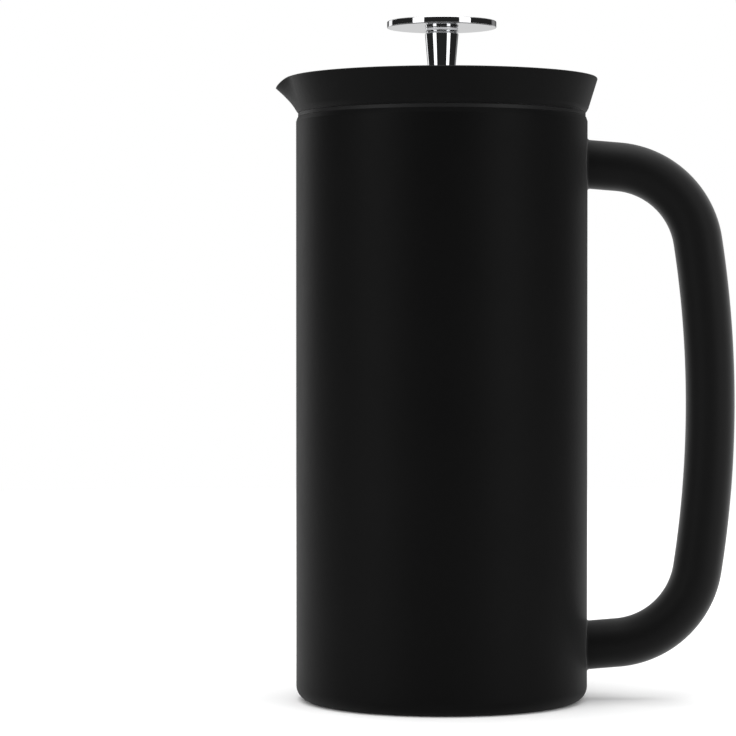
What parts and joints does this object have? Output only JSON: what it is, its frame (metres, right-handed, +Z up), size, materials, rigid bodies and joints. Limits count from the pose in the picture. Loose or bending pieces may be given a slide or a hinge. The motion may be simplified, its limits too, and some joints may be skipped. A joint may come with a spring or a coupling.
{
  "type": "french press",
  "caption": "Double-walled cafetiere with tube handle, flared pouring collar, slotted lid and a plunger with two nested micro-filter baskets.",
  "frame": {"origin": "centre of the flat ring that the vessel stands on", "axes": "+Z up along the vessel's axis, the handle to +X and the spout to -X"},
  "size_m": [0.1639, 0.111, 0.2421],
  "materials": {
    "black_coat": "satin",
    "steel_liner": "brushed",
    "base_coat": "matte",
    "getter_metal": "satin",
    "chrome": "polished",
    "lid_black": "gloss",
    "filter_black": "satin",
    "bush_plastic": "satin",
    "black_silicone": "matte",
    "clear_silicone": "satin",
    "filter_mesh": "fine woven"
  },
  "bodies": {
    "vessel": {"outer_shell": "black_coat", "inner_vessel": "steel_liner", "spout_collar": "black_coat", "base_plate": "base_coat", "vacuum_seal_cap": "base_coat", "vacuum_getter": "getter_metal", "handle_tube": "black_coat", "handle_weld_beads": "black_coat"},
    "lid_ring": {"lid_seal": "black_silicone"},
    "lid": {"lid_cap": "lid_black", "lid_insert": "filter_black", "rod_bush_upper": "bush_plastic", "rod_bush_lower": "bush_plastic", "rod_wiper": "clear_silicone"},
    "plunger_ring": {"filter_seal": "clear_silicone"},
    "plunger": {"knob_disc": "chrome", "knob_ferrule": "chrome", "plunger_rod": "chrome", "rod_collar": "chrome", "hub_washer": "chrome", "rod_nut": "chrome", "inner_filter_frame": "filter_black", "inner_side_mesh": "filter_mesh", "inner_floor_mesh": "filter_mesh"},
    "outer_filter": {"outer_filter_frame": "filter_black", "outer_side_mesh": "filter_mesh", "outer_floor_mesh": "filter_mesh"}
  },
  "joints": [
    {"name": "lid_lift", "type": "slide", "parent": "vessel", "child": "lid_ring", "axis": [0, 0, 1], "range_m": [0, 0.2]},
    {"name": "lid_turn", "type": "hinge", "parent": "lid_ring", "child": "lid", "pos_m": [0, 0, 0.21], "axis": [0, 0, 1], "continuous": true},
    {"name": "plunger_slide", "type": "slide", "parent": "lid", "child": "plunger_ring", "axis": [0, 0, 1], "range_m": [0, 0.086]},
    {"name": "plunger_turn", "type": "hinge", "parent": "plunger_ring", "child": "plunger", "pos_m": [0, 0, 0.09], "axis": [0, 0, 1], "continuous": true},
    {"name": "outer_filter_twist", "type": "hinge", "parent": "plunger", "child": "outer_filter", "pos_m": [0, 0, 0.075], "axis": [0, 0, 1], "range_deg": [0, 35]}
  ]
}
